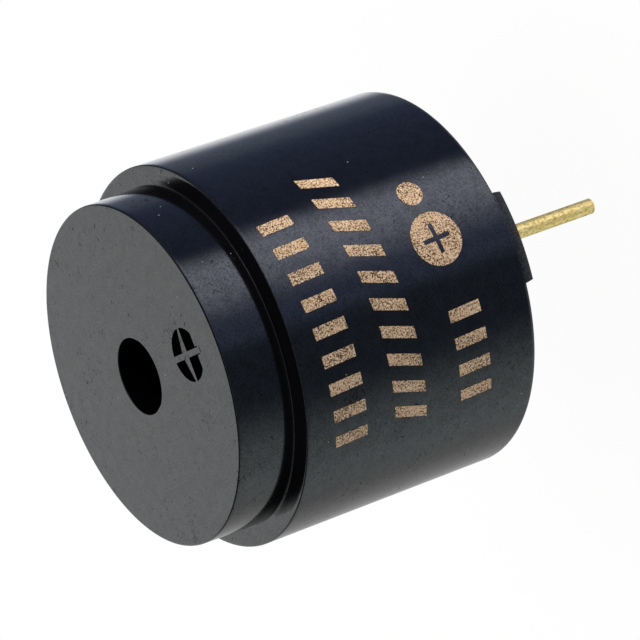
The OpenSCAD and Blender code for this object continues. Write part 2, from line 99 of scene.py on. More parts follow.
# the camera's own right and back, with its roll; its up follows from them
camera_right = Vector((0.4245, -0.3840, -0.8200)).normalized()
camera_back = Vector((0.8647, -0.0967, 0.4929)).normalized()
camera_up = camera_back.cross(camera_right).normalized()
camera_right = camera_up.cross(camera_back)
camera_turn = Matrix((camera_right, camera_up, camera_back)).transposed().to_4x4()
camera.matrix_world = Matrix.Translation(Vector((138.21, -15.74, 84.18)) * MM) @ camera_turn
camera.data.sensor_width = 36
camera.data.lens = 220.48  # mm on that sensor
camera.data.clip_start = 0.01
bpy.context.scene.camera = camera
print("camera at", [round(v / MM, 1) for v in camera.location], "mm")

# %% [markdown]
# ## Small helpers
# Most operators act on whatever is selected, and the loaded nodes are selected to begin with.
# So everything is deselected first, and each edit picks its faces or edges by where they are.


# %% Selecting and editing
def nothing_selected():
    """Leaves edit mode and deselects every object."""
    if bpy.context.mode != "OBJECT":
        bpy.ops.object.mode_set(mode="OBJECT")
    bpy.ops.object.select_all(action="DESELECT")


def select_only(piece):
    """Leaves edit mode and selects one piece, which the next operator acts on."""
    nothing_selected()
    piece.select_set(True)
    bpy.context.view_layer.objects.active = piece


def place_in_mesh(piece):
    """Moves a piece's place and turn into its mesh, so that the object itself sits at the origin."""
    select_only(piece)
    bpy.ops.object.transform_apply(location=True, rotation=True, scale=True)


def new_piece(name):
    """Names the primitive that was just added."""
    piece = bpy.context.object
    piece.name = piece.data.name = name
    return piece


def pick(piece, what, wanted):
    """In edit mode, selects the points, edges or faces whose corners pass the wanted test."""
    bpy.ops.object.mode_set(mode="EDIT")
    bpy.ops.mesh.select_mode(type=what)
    bpy.ops.mesh.select_all(action="DESELECT")
    bpy.ops.object.mode_set(mode="OBJECT")
    mesh = piece.data
    places = [v.co / MM for v in mesh.vertices]
    count = 0
    for thing in {"VERT": mesh.vertices, "EDGE": mesh.edges, "FACE": mesh.polygons}[what]:
        corners = [thing.index] if what == "VERT" else thing.vertices
        thing.select = bool(wanted([places[i] for i in corners]))
        count += thing.select
    bpy.ops.object.mode_set(mode="EDIT")
    return count


def radius(point):
    return math.hypot(point.x, point.y)


def angle(point):
    return math.degrees(math.atan2(point.y, point.x))


CLOSE = 0.004  # mm: how near a place has to be to count as the same
WELD = 0.0005  # mm: how near two points of one mesh have to be to count as one


def on_ring(r, z):
    """A test for edges or points that lie on a circle round the axis of the case."""
    return lambda points: all(abs(radius(p) - r) < CLOSE and abs(p.z - z) < CLOSE for p in points)


def pull_ring(r_from, r_to, rise):
    """Extrudes the selected ring of edges to a new radius and height."""
    bpy.ops.mesh.extrude_region_move(TRANSFORM_OT_translate={"value": (0, 0, rise * MM)})
    scale = r_to / r_from
    bpy.ops.transform.resize(value=(scale, scale, 1), center_override=(0, 0, 0))


def turn_ring(name, profile, segments):
    """A turned form: a circle at the first point of a closed profile, pulled round all the others."""
    nothing_selected()
    r, z = profile[0]
    bpy.ops.mesh.primitive_circle_add(vertices=segments, radius=r * MM, location=(0, 0, z * MM))
    piece = new_piece(name)
    place_in_mesh(piece)
    bpy.ops.object.mode_set(mode="EDIT")
    bpy.ops.mesh.select_mode(type="EDGE")
    bpy.ops.mesh.select_all(action="SELECT")
    for r_next, z_next in profile[1:] + profile[:1]:
        pull_ring(r, r_next, z_next - z)
        r, z = r_next, z_next
    bpy.ops.mesh.select_all(action="SELECT")
    bpy.ops.mesh.remove_doubles(threshold=WELD * MM)
    bpy.ops.mesh.normals_make_consistent(inside=False)
    return piece


def apply_modifier(piece, kind, **settings):
    """Adds one modifier to a piece and applies it."""
    select_only(piece)
    made = piece.modifiers.new(kind.lower(), kind)
    for name, value in settings.items():
        setattr(made, name, value)
    bpy.ops.object.modifier_apply(modifier=made.name)


def cut_away(piece, tool):
    """Cuts one piece out of another and throws the tool away."""
    apply_modifier(piece, "BOOLEAN", operation="DIFFERENCE", solver="EXACT", object=tool)
    bpy.data.objects.remove(tool)


def smooth(piece, degrees):
    """Smooth shading, with a crease wherever two faces meet at more than this angle."""
    select_only(piece)
    bpy.ops.object.shade_smooth_by_angle(angle=math.radians(degrees))


print("helpers ready")

# %% [markdown]
# ## Nodes for the finishes
# Every finish is a node material. One small function adds a node, gives it its settings, fills
# its inputs with values or with links, and hands back one output for the next node to use.
# Colours are written as on screen, in sRGB, and a second function turns them into the linear
# values that the shaders use. Two kinds of node come up often. A MapRange turns one stretch of
# values into another. A Mix set to RGBA takes its amount at input 0 and its two colours at
# inputs 6 and 7, and gives its result at output 2.


# %% Colours and nodes
def linear(code):
    """Linear RGBA from an sRGB colour such as #1a2b3c."""
    parts = [int(code[i : i + 2], 16) / 255 for i in (1, 3, 5)]
    return [c / 12.92 if c <= 0.04045 else ((c + 0.055) / 1.055) ** 2.4 for c in parts] + [1.0]


def add(tree, kind, put=None, out=0, **settings):
    """Adds one node and returns one of its outputs. put fills inputs by name or number."""
    made = tree.nodes.new("ShaderNode" + kind)
    for name, value in settings.items():
        setattr(made, name, value)
    for name, value in (put or {}).items():
        if isinstance(value, bpy.types.NodeSocket):
            tree.links.new(value, made.inputs[name])
        else:
            made.inputs[name].default_value = value
    return made.outputs[out] if made.outputs else None


def new_finish(name):
    """An empty node material and its tree."""
    material = bpy.data.materials.new(name)
    material.use_nodes = True
    material.node_tree.nodes.clear()
    return material, material.node_tree


def finish_surface(tree, put):
    """Ends a finish in one Principled shader with these inputs."""
    add(tree, "OutputMaterial", {"Surface": add(tree, "BsdfPrincipled", put)})


print("black reads", [round(v, 4) for v in linear("#16171c")])

# %% [markdown]
# ## Floor and background
# The background is plain white: rays that come from the camera, or from a mirror or glass, see a
# white of strength 1, while the light that falls on the buzzer has its own level.
# The floor is a white disc under the tips of the pins. It keeps a soft shadow, which fades
# towards the edge of the disc, so that no edge shows.


# %% World
def seen_rays(tree):
    """1 for a ray that is seen, straight or by way of a mirror or glass, and 0 for falling light."""
    rays = add(tree, "LightPath").node.outputs
    seen = add(tree, "Math", {0: rays["Is Camera Ray"], 1: rays["Is Glossy Ray"]}, operation="MAXIMUM")
    return add(tree, "Math", {0: seen, 1: rays["Is Transmission Ray"]}, operation="MAXIMUM")


FILL_LEVEL = 0.4  # the background as it lights the buzzer
WHITE_LEVEL = 1.0  # the background as it is seen
scene = bpy.context.scene
scene.view_settings.view_transform = "Standard"
world = bpy.data.worlds.new("studio")
scene.world = world
world.use_nodes = True
sky = world.node_tree
sky.nodes.clear()
fill = add(sky, "Background", {"Color": linear("#fbfbff"), "Strength": FILL_LEVEL})
white = add(sky, "Background", {"Color": linear("#ffffff"), "Strength": WHITE_LEVEL})
sky_look = add(sky, "MixShader", {0: seen_rays(sky), 1: fill, 2: white})
add(sky, "OutputWorld", {"Surface": sky_look})
print("world ready")

# %% Floor
FLOOR_R = 30.0
FLOOR_SIDES = 96
SHADOW_KEPT = 0.05  # share of the shadow that shows
SHADOW_FADE = (8.0, FLOOR_R)  # it fades to nothing between these distances from the axis
nothing_selected()
bpy.ops.mesh.primitive_circle_add(
    vertices=FLOOR_SIDES, radius=FLOOR_R * MM, fill_type="NGON", location=(0, 0, cad_box[0][2])
)
floor = new_piece("floor")
place_in_mesh(floor)
# matt white card: it takes the soft shadow and gives back no shine
floor_paint, tree = new_finish("floor_white")
at = add(tree, "TexCoord", out="Object")
flat = add(tree, "VectorMath", {0: at, 1: (1, 1, 0)}, operation="MULTIPLY")
outwards = add(tree, "VectorMath", {0: flat}, out="Value", operation="LENGTH")
fade = {"From Min": SHADOW_FADE[0] * MM, "From Max": SHADOW_FADE[1] * MM, "To Min": SHADOW_KEPT, "To Max": 0}
shadow = add(tree, "MapRange", {"Value": outwards, **fade}, interpolation_type="SMOOTHSTEP")
white = add(tree, "Emission", {"Color": linear("#ffffff"), "Strength": WHITE_LEVEL})
paint = add(tree, "BsdfDiffuse", {"Color": linear("#f4f4f2")})
shown = add(tree, "MixShader", {0: shadow, 1: white, 2: paint})
floor_look = add(tree, "MixShader", {0: seen_rays(tree), 1: paint, 2: shown})
add(tree, "OutputMaterial", {"Surface": floor_look})
floor.data.materials.append(floor_paint)
# reflections see the table of the studio shell in its place
floor.visible_glossy = False
print("floor at", round(cad_box[0][2] / MM, 2), "mm")

# %% [markdown]
# ## Studio round the buzzer
# Black gloss has hardly a colour of its own: it shows what stands round it. So a large shell
# stands for the studio, seen by reflections alone. Low round the buzzer it has one broad soft
# light beside a pale blue curtain, dark card on both sides of them, and pale paper and a grey wall
# behind. Higher up only the far side is pale: the front face shows it as an even grey, while the
# corner under the neck stays black. Straight above it is dark, which draws a thin dark line along
# the edge of the front face, and straight below it is the white table, which lights the pins.
# Lamps alone could light a matt part so, but on gloss each would leave its own hard spot, and the
# shell gives the soft changes between.
# Each thing in a ring has the directions where it starts and ends, in degrees round the axis, a
# tint, and a brightness, and an eased ramp leads from one thing to the next. A ring ends as it
# began, so that no line shows where it closes behind the buzzer.

# %% Studio shell
SHELL_R = 0.6  # metres
TOP_LEVEL = 3.0  # the brightest that a thing in a ring can be
TABLE_LEVEL = 1.8
DARK_LEVEL = 0.1
LOW_RING = [
    ("grey wall", -180, -130, "#ffffff", 0.55),
    ("pale screen", -102, -84, "#eefbff", 0.9),
    ("dark card", -42, -16, "#c8dcff", 0.26),
    ("blue curtain", -1, 2, "#b8ccff", 0.8),
    ("soft light", 36, 42, "#e6eaff", 2.85),
    ("blue card", 59, 108, "#aec4ff", 0.35),
    ("grey card", 122, 134, "#cde0ff", 0.4),
    ("pale paper", 153, 165, "#f6f8ff", 1.2),
    ("grey wall", 178, 180, "#ffffff", 0.55),
]
HIGH_RING = [
    ("pale wall", -180, -162, "#fbfeff", 1.15),
    ("black cloth", -134, -116, "#f0f4ff", 0.1),
    ("grey wall", -80, 80, "#f0f4ff", 0.35),
    ("black cloth", 116, 134, "#f0f4ff", 0.1),
    ("pale wall", 162, 180, "#fbfeff", 1.15),
]

nothing_selected()
bpy.ops.mesh.primitive_uv_sphere_add(segments=48, ring_count=24, radius=SHELL_R)
shell = new_piece("studio_shell")
shell_light, tree = new_finish("studio_light")
shell_at = add(tree, "TexCoord", out="Object")
around = add(tree, "TexGradient", {"Vector": shell_at}, out="Fac", gradient_type="RADIAL")
height = add(tree, "SeparateXYZ", {"Vector": shell_at}, out="Z")
ramps = []
for ring in (LOW_RING, HIGH_RING):
    ramp = add(tree, "ValToRGB", {"Fac": around})
    ramp.node.color_ramp.interpolation = "EASE"
    elements = ramp.node.color_ramp.elements
    for thing, start, end, tint, level in ring:
        for degrees in (start, end):
            stop = {-180: elements[0], 180: elements[-1]}.get(degrees) or elements.new((degrees + 180) / 360)
            stop.color = [c * level / TOP_LEVEL for c in linear(tint)[:3]] + [1.0]
        print(thing, "from", start, "to", end, "degrees")
    ramps.append(ramp)
# each change runs smoothly between two heights, given as shares of the radius of the shell
RAMP_CHANGE = (-0.2, 0.35, 0, 1)  # from the low ramp to the high one
TABLE_CHANGE = (-0.85, -0.65, 1, 0)  # from the table to the low ramp
DARK_CHANGE = (0.74, 0.9, TOP_LEVEL, DARK_LEVEL)  # from full light to the dark top
changes = []
for low, high, first, last in (RAMP_CHANGE, TABLE_CHANGE, DARK_CHANGE):
    between = {"From Min": low * SHELL_R, "From Max": high * SHELL_R, "To Min": first, "To Max": last}
    changes.append(add(tree, "MapRange", {"Value": height, **between}, interpolation_type="SMOOTHSTEP"))
upper, table, level = changes
table_white = [TABLE_LEVEL / TOP_LEVEL] * 3 + [1.0]
glow = add(tree, "Mix", {0: upper, 6: ramps[0], 7: ramps[1]}, out=2, data_type="RGBA")
glow = add(tree, "Mix", {0: table, 6: glow, 7: table_white}, out=2, data_type="RGBA")
add(tree, "OutputMaterial", {"Surface": add(tree, "Emission", {"Color": glow, "Strength": level})})
# it stands all round, so no rays need to be aimed at it as they are at a lamp
shell_light.cycles.emission_sampling = "NONE"
shell.data.materials.append(shell_light)
for ray in ("camera", "diffuse", "transmission", "volume_scatter", "shadow"):
    setattr(shell, "visible_" + ray, False)
print("studio shell ready")

# %% [markdown]
# ## Lamps
# Two large soft lamps light what isn't a mirror: the print, the resin and the floor.
# They are hidden from reflections, because the shell already stands for them there.


# %% Lamps
LAMP_DISTANCE = 0.3  # metres
LAMP_AIM = Vector((0, 0, 6)) * MM  # the middle of the case


def soft_lamp(name, degrees, height_degrees, watts, size, tint):
    """A square area lamp that looks at the middle of the case from a given direction."""
    data = bpy.data.lights.new(name, "AREA")
    data.size = size
    data.energy = watts
    data.color = linear(tint)[:3]
    made = bpy.data.objects.new(name, data)
    scene.collection.objects.link(made)
    turn = math.radians(degrees)
    rise = math.radians(height_degrees)
    away = Vector((math.cos(turn) * math.cos(rise), math.sin(turn) * math.cos(rise), math.sin(rise)))
    made.location = away * LAMP_DISTANCE + LAMP_AIM
    made.rotation_euler = away.to_track_quat("Z", "Y").to_euler()
    made.visible_glossy = made.visible_camera = False


soft_lamp("key_lamp", degrees=72, height_degrees=12, watts=0.95, size=0.25, tint="#fffaf4")
soft_lamp("top_lamp", degrees=150, height_degrees=70, watts=0.5, size=0.30, tint="#ffffff")
print("lamps ready")

# %% [markdown]
# ## Case
# The real case is one moulding in black plastic: a skirt, a shoulder, and a narrower neck with
# the sound hole. A turned form can be spun from a profile or pulled up from a ring of edges.
# Here one ring is extruded from corner to corner, because each step is then a size on the
# drawing. Extra rings beside the corners keep the shading of the long walls straight when the
# corners are rounded.

# %% Case: the turned form
SEGMENTS = 272  # flat strips in a full turn
SUPPORT = 0.2  # distance of the extra rings from a corner
HOLE_SUPPORT = 0.1  # the same at the sound hole
NECK_DRAFT = (NECK_R - TIP_R) / (FRONT_Z - SHOULDER_Z)
case_profile = [
    (SIDE_R, RIM_Z),
    (SIDE_R, RIM_Z + SUPPORT),
    (SIDE_R, SHOULDER_Z - SUPPORT),
    (SIDE_R, SHOULDER_Z),
    (SIDE_R - SUPPORT, SHOULDER_Z),
    (NECK_R + SUPPORT, SHOULDER_Z),
    (NECK_R, SHOULDER_Z),
    (NECK_R - SUPPORT * NECK_DRAFT, SHOULDER_Z + SUPPORT),
    (TIP_R + SUPPORT * NECK_DRAFT, FRONT_Z - SUPPORT),
    (TIP_R, FRONT_Z),
    (TIP_R - SUPPORT, FRONT_Z),
    (HOLE_R + HOLE_SUPPORT, FRONT_Z),
    (HOLE_R, FRONT_Z),
    (HOLE_R, FRONT_Z - HOLE_SUPPORT),
    (HOLE_R, CHAMBER_Z),
    (CHAMBER_R, CHAMBER_Z),
    (CHAMBER_R, LEDGE_Z),
    (BORE_R, LEDGE_Z),
    (BORE_R, RIM_Z + SUPPORT),
    (BORE_R, RIM_Z),
]
case = turn_ring("case_moulding", case_profile, SEGMENTS)
# half a step of turn puts the middle of a segment, and of a foot, on the X axis
case.rotation_euler.z = math.pi / SEGMENTS
place_in_mesh(case)
print("case:", len(case.data.polygons), "faces")

# %% [markdown]
# ## Feet
# Two feet lift the rim off the board, so that flux and heat get away while the pins are soldered.
# A block could be joined on for each. Here a short stretch of the rim is pulled down instead, so
# that the foot's sides run on in the wall without a seam. Its ends slope a little, as the mould
# needs to let go of them.

# %% Feet
FOOT_FACES = 21  # strips in one foot
FOOT_DRAFT = math.radians(0.45)  # turn of a foot's end between the rim and its face
NEAR = 0.1  # degrees: how near an angle has to be to count as the same
foot_half = 360 / SEGMENTS * FOOT_FACES / 2


def foot_angle(point):
    """Angle of a point from the middle of the nearer foot."""
    return (angle(point) + 90) % 180 - 90


def over_a_foot(points):
    """A test for the faces of the rim that a foot is pulled from."""
    return all(abs(p.z - RIM_Z) < CLOSE and abs(foot_angle(p)) < foot_half + NEAR for p in points)


def foot_end(foot, side):
    """A test for the points of a foot's face at one of its ends."""
    return lambda points: (
        abs(points[0].z) < CLOSE
        and points[0].x * foot > 0
        and abs(foot_angle(points[0]) - side * foot_half) < NEAR
    )


rim_faces = pick(case, "FACE", over_a_foot)
bpy.ops.mesh.extrude_region_move(TRANSFORM_OT_translate={"value": (0, 0, -RIM_Z * MM)})
for side in (-1, 1):
    for foot in (-1, 1):
        pick(case, "VERT", foot_end(foot, side))
        # with no window the operator turns the other way, hence the sign
        bpy.ops.transform.rotate(value=side * FOOT_DRAFT, orient_axis="Z", center_override=(0, 0, 0))
print("feet: extruded from", rim_faces, "faces of the rim")

# %% [markdown]
# ## Rounded corners
# No moulded corner is truly sharp. The bevel tool rounds the outer edges by a few hundredths of a
# millimetre, just enough to catch a line of light, and fills the corner between neck and shoulder
# with a small fillet. A bevel modifier would treat every edge alike, and here each ring of edges
# is picked by its place and gets its own size.

# %% Corners
for r, z, size, steps in (
    (SIDE_R, SHOULDER_Z, EDGE_BREAK, 3),
    (NECK_R, SHOULDER_Z, CORNER_FILLET, 4),
    (TIP_R, FRONT_Z, EDGE_BREAK, 3),
    (HOLE_R, FRONT_Z, HOLE_BREAK, 2),
):
    found = pick(case, "EDGE", on_ring(r, z))
    bpy.ops.mesh.bevel(offset=size * MM, segments=steps, affect="EDGES")
    print("rounded a ring of", found, "edges at radius", r)


def bare_rim(r):
    """A test for the edges of the rim between the feet."""
    ring = on_ring(r, RIM_Z)
    return lambda points: ring(points) and any(abs(foot_angle(p)) > foot_half + NEAR for p in points)


for r, size, steps in ((SIDE_R, EDGE_BREAK, 2), (BORE_R, BORE_BREAK, 1)):
    found = pick(case, "EDGE", bare_rim(r))
    bpy.ops.mesh.bevel(offset=size * MM, segments=steps, affect="EDGES")
    print("broke", found, "edges of the rim")
found = pick(case, "EDGE", on_ring(SIDE_R, 0))
bpy.ops.mesh.bevel(offset=EDGE_BREAK * MM, segments=2, affect="EDGES")
print("broke", found, "outer edges of the feet")
bpy.ops.object.mode_set(mode="OBJECT")

# %% [markdown]
# ## Polarity mark in the front face
# Near the edge of the front face a small round pocket holds a plus sign, which stands up to the
# level of the face. The mould has it as one engraved pin, so it is made here as one tool: a disc
# with a flat side, less the two bars of the plus. The tool is then cut out of the face.

# %% Recess
RECESS_AT = 4.47  # distance of its middle from the axis
RECESS_R = 1.1
RECESS_FLAT = 0.83  # distance of the flat side from its middle
RECESS_DEPTH = 0.6
BAR_W = 0.25
BAR_REACH = 1.12  # the straight bar ends this far out
TIP_W = 0.11  # width of the pointed bar at its tips
POINTED_W = 0.42  # and in the middle
GROOVE = 0.05  # width of the groove round the end of the straight bar
GROOVE_DEPTH = 0.1
ABOVE = 0.3  # how far the cutting tools stand above the face
OVERLAP = 0.01  # how far the groove's tool starts inside the flat side
POCKET_SIDES = 96
BAR_HEIGHTS = (FRONT_Z - 1, FRONT_Z + 1)  # the bars run well past the tool that they cut


def block(name, x0, x1, y0, y1, z0, z1):
    """A box between two corners, in millimetres."""
    nothing_selected()
    bpy.ops.mesh.primitive_cube_add(
        size=1,
        location=((x0 + x1) / 2 * MM, (y0 + y1) / 2 * MM, (z0 + z1) / 2 * MM),
        scale=((x1 - x0) * MM, (y1 - y0) * MM, (z1 - z0) * MM),
    )
    piece = new_piece(name)
    place_in_mesh(piece)
    return piece


def plain_bar():
    """The straight bar of the plus, on a line through the axis."""
    ends = (RECESS_AT - 2 * RECESS_R, RECESS_AT + BAR_REACH)
    return block("plain_bar", *ends, -BAR_W / 2, BAR_W / 2, *BAR_HEIGHTS)


def pointed_bar():
    """The other bar: its outer side is straight, and its inner side swells towards the middle."""
    sides = (RECESS_AT - TIP_W / 2, RECESS_AT + TIP_W / 2)
    bar = block("pointed_bar", *sides, -RECESS_R, RECESS_R, *BAR_HEIGHTS)
    pick(bar, "EDGE", lambda points: abs(points[0].y - points[1].y) > RECESS_R)
    bpy.ops.mesh.subdivide(number_cuts=1)
    pick(bar, "EDGE", lambda points: all(abs(p.y) < CLOSE and p.x < RECESS_AT for p in points))
    bpy.ops.transform.translate(value=((TIP_W - POINTED_W) * MM, 0, 0))
    for side in (-1, 1):
        pick(bar, "FACE", lambda points: all(p.y * side > RECESS_R - CLOSE for p in points))
        bpy.ops.mesh.extrude_region_move(TRANSFORM_OT_translate={"value": (0, side * ABOVE * MM, 0)})
    return bar


nothing_selected()
bpy.ops.mesh.primitive_cylinder_add(
    vertices=POCKET_SIDES,
    radius=RECESS_R * MM,
    depth=(RECESS_DEPTH + ABOVE) * MM,
    location=(RECESS_AT * MM, 0, (FRONT_Z + (ABOVE - RECESS_DEPTH) / 2) * MM),
)
pocket = new_piece("pocket_tool")
place_in_mesh(pocket)
bpy.ops.object.mode_set(mode="EDIT")
bpy.ops.mesh.select_all(action="SELECT")
bpy.ops.mesh.bisect(
    plane_co=((RECESS_AT + RECESS_FLAT) * MM, 0, 0),
    plane_no=(1, 0, 0),
    use_fill=True,
    clear_outer=True,
    threshold=2 * WELD * MM,
)
cut_away(pocket, plain_bar())
cut_away(pocket, pointed_bar())
groove = block(
    "groove_tool",
    RECESS_AT + RECESS_FLAT - OVERLAP,
    RECESS_AT + BAR_REACH + GROOVE,
    -BAR_W / 2 - GROOVE,
    BAR_W / 2 + GROOVE,
    FRONT_Z - GROOVE_DEPTH,
    FRONT_Z + ABOVE,
)
cut_away(groove, plain_bar())
cut_away(case, pocket)
cut_away(case, groove)
case.rotation_euler.z = CASE_TURN
place_in_mesh(case)
smooth(case, degrees=32)
# the front face is one flat plane, cut up by the recess, so it is shaded flat
pick(case, "FACE", lambda points: all(abs(p.z - FRONT_Z) < WELD for p in points))
bpy.ops.mesh.faces_shade_flat()
bpy.ops.object.mode_set(mode="OBJECT")
print("case with its recess:", len(case.data.polygons), "faces")

# %% [markdown]
# ## Pins
# The pins are round wire, cut to length and plated. The free end has a small bevel and the
# slightly slanted face that shears leave. Further up, inside the resin, each pin steps out to the
# thicker root that is soldered in the board. A curve with a round section could stand for the
# wire, but its end is always cut square, so the pin starts as a cylinder and its end is turned.
# One pin is modelled and the other is a copy of it.

# %% Pins
PIN_X = 3.8  # distance of each pin from the axis
PIN_R = 0.325
ROOT_R = 0.5
TIP_Z = -6.5
ROOT_Z = 0.85  # where the root begins
PIN_TOP_Z = 3.51
PIN_BEVEL = 0.07
SHEAR_RISE = 0.02  # how far the slant lifts the edge of the free end
SHEAR_TILT = math.radians(3)
PIN_SIDES = 64


def at_free_end(points):
    """A test for the face and the edges of a pin's free end, before and after it is slanted."""
    return all(p.z < TIP_Z + 2 * SHEAR_RISE for p in points)


nothing_selected()
bpy.ops.mesh.primitive_cylinder_add(
    vertices=PIN_SIDES,
    radius=PIN_R * MM,
    depth=(ROOT_Z - TIP_Z - SHEAR_RISE) * MM,
    location=(0, 0, (ROOT_Z + TIP_Z + SHEAR_RISE) / 2 * MM),
)
pin = new_piece("pin_pos")
place_in_mesh(pin)
pick(pin, "FACE", lambda points: all(p.z > ROOT_Z - CLOSE for p in points))
bpy.ops.mesh.extrude_region_move()
grow = ROOT_R / PIN_R
bpy.ops.transform.resize(value=(grow, grow, 1), center_override=(0, 0, ROOT_Z * MM))
bpy.ops.mesh.extrude_region_move(TRANSFORM_OT_translate={"value": (0, 0, (PIN_TOP_Z - ROOT_Z) * MM)})
pick(pin, "FACE", at_free_end)
free_end = (0, 0, (TIP_Z + SHEAR_RISE) * MM)
bpy.ops.transform.rotate(value=SHEAR_TILT, orient_axis="X", center_override=free_end)
pick(pin, "EDGE", at_free_end)
bpy.ops.mesh.bevel(offset=PIN_BEVEL * MM, segments=1, affect="EDGES")
select_only(pin)
bpy.ops.object.duplicate()
second_pin = new_piece("pin_neg")
# the second pin is turned, so that the slants of the two free ends don't match
for piece, x, turn in ((pin, PIN_X, 0), (second_pin, -PIN_X, 140)):
    piece.location.x = x * MM
    piece.rotation_euler.z = math.radians(turn)
    place_in_mesh(piece)
    smooth(piece, degrees=30)
print("pins:", len(pin.data.polygons), "faces each")

# %% [markdown]
# ## Black moulded plastic
# The case is glossy PBT or a like plastic, coloured blue-black. Its skin follows the polished
# mould, so it is nearly a mirror at grazing angles (index 1.5, roughness about 0.1). Up close it
# has a faint grain, short handling scratches, small pits and a few specks of dust. The feet and
# the edge of the rim are rough and a little grey, where the mould was parted. Such a skin could
# come from a picture wrapped round the case. Noise is used instead, because it has no seams and
# stays sharp at any distance.


# %% Patterns
def mottle(tree, at, size_mm, detail=2.0, longer=(1, 1, 1), turn=(0, 0, 0)):
    """Soft blobs about size_mm across, drawn out by the factors longer along turned axes."""
    placed = add(tree, "Mapping", {"Vector": at, "Rotation": turn, "Scale": longer}, vector_type="TEXTURE")
    return add(tree, "TexNoise", {"Vector": placed, "Scale": 1 / (size_mm * MM), "Detail": detail}, out="Fac")


def dots(tree, at, cell_mm, radius_mm, share):
    """Scattered round dots, one to a cell at most: 1 inside a dot and 0 outside."""
    cells = add(tree, "TexVoronoi", {"Vector": at, "Scale": 1 / (cell_mm * MM)}).node.outputs
    edge = radius_mm / cell_mm
    stretch = {"From Min": 0.7 * edge, "From Max": edge, "To Min": 1, "To Max": 0}
    inside = add(tree, "MapRange", {"Value": cells["Distance"], **stretch})
    lot = add(tree, "SeparateColor", {"Color": cells["Color"]}, out="Red")
    chosen = add(tree, "Math", {0: lot, 1: share}, operation="LESS_THAN")
    return add(tree, "Math", {0: inside, 1: chosen}, operation="MULTIPLY")


print("patterns ready")

# %% Case finish: marks on the skin
plastic, tree = new_finish("black_moulded_plastic")
at = add(tree, "TexCoord", out="Object")
cloud = mottle(tree, at, 0.5, detail=3.0)
# the real grain is finer than 0.08 mm, but finer than this it wouldn't show
grain = mottle(tree, at, 0.08, detail=1.0)
# scratches lie in the skin, so the wall is unrolled: way round it and height. Flat faces stay as they
# are. A real scratch is finer than 0.08 mm too, and is drawn this wide so that it shows
place = add(tree, "SeparateXYZ", {"Vector": at}).node.outputs
height = place["Z"]
turned = add(tree, "Math", {0: place["Y"], 1: place["X"]}, operation="ARCTAN2")
way_round = add(tree, "Math", {0: turned, 1: SIDE_R * MM}, operation="MULTIPLY")
wall = add(tree, "CombineXYZ", {"X": way_round, "Y": height})
flat = add(tree, "Math", {0: height, 1: SHOULDER_Z * MM, 2: CLOSE * MM}, operation="COMPARE")
front = add(tree, "Math", {0: height, 1: (FRONT_Z - CLOSE) * MM}, operation="GREATER_THAN")
flat = add(tree, "Math", {0: flat, 1: front}, operation="MAXIMUM")
skin = add(tree, "Mix", {0: flat, 4: wall, 5: at}, out=1, data_type="VECTOR")
one_way = mottle(tree, skin, 0.08, detail=1.0, longer=(6, 1, 1), turn=(0, 0, 0.5))
other_way = mottle(tree, skin, 0.08, detail=1.0, longer=(5, 1, 1), turn=(0, 0, 2.1))
scratches = add(tree, "Math", {0: one_way, 1: other_way}, operation="MAXIMUM")
# they come in groups, where the skin was rubbed
rubbed = mottle(tree, at, 1.6)
scratches = add(tree, "Math", {0: rubbed, 1: 0.45, 2: scratches}, operation="MULTIPLY_ADD")
scratches = add(tree, "MapRange", {"Value": scratches, "From Min": 0.955, "From Max": 0.985})
pits = dots(tree, at, cell_mm=0.6, radius_mm=0.045, share=0.8)
marks = add(tree, "Math", {0: scratches, 1: pits}, operation="MAXIMUM")
dust = dots(tree, at, cell_mm=0.9, radius_mm=0.035, share=0.5)
# the feet and the edge of the rim, up to half a millimetre, are dull, with grey flecks
parting = {"From Min": 0.34 * MM, "From Max": 0.5 * MM, "To Min": 1, "To Max": 0}
dull = add(tree, "MapRange", {"Value": height, **parting})
flecks = mottle(tree, at, 0.07, detail=1.0)
flecks = add(tree, "MapRange", {"Value": flecks, "From Min": 0.5, "From Max": 0.62})
flecks = add(tree, "Math", {0: dull, 1: flecks}, operation="MULTIPLY")
print("marks on the skin:", plastic.name)

# %% Case finish: gloss, roughness and colour
# the grain counts twice as much in the gloss as the broader clouds
gloss = add(tree, "Math", {0: grain, 1: 2.0, 2: cloud}, operation="MULTIPLY_ADD")
gloss = add(
    tree, "MapRange", {"Value": gloss, "From Min": 1.1, "From Max": 1.9, "To Min": 0.63, "To Max": 0.35}
)
# a dull place shows half as much of its surroundings, and a mark still less
for patch, less in ((dull, -0.5), (marks, -0.75)):
    kept = add(tree, "Math", {0: patch, 1: less, 2: 1.0}, operation="MULTIPLY_ADD")
    gloss = add(tree, "Math", {0: gloss, 1: kept}, operation="MULTIPLY")
rough = add(
    tree, "MapRange", {"Value": grain, "From Min": 0.3, "From Max": 0.7, "To Min": 0.09, "To Max": 0.14}
)
for patch, more in ((dull, 0.35), (marks, 0.2)):
    rough = add(tree, "Math", {0: patch, 1: more, 2: rough}, operation="MULTIPLY_ADD")
bumps = add(tree, "Bump", {"Height": grain, "Distance": 0.002 * MM, "Strength": 0.25})
bumps = add(
    tree, "Bump", {"Height": marks, "Distance": 0.004 * MM, "Strength": 0.3, "Normal": bumps}, invert=True
)
black = add(
    tree, "Mix", {0: flecks, 6: linear("#050507"), 7: linear("#2e3033")}, out=2, data_type="RGBA"
)
colour = add(tree, "Mix", {0: dust, 6: black, 7: linear("#8e8c88")}, out=2, data_type="RGBA")
finish_surface(
    tree,
    {"Base Color": colour, "Roughness": rough, "IOR": 1.5, "Specular IOR Level": gloss, "Normal": bumps},
)
case.data.materials.clear()
case.data.materials.append(plastic)
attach(case, "root")
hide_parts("case")
print("case finish ready")

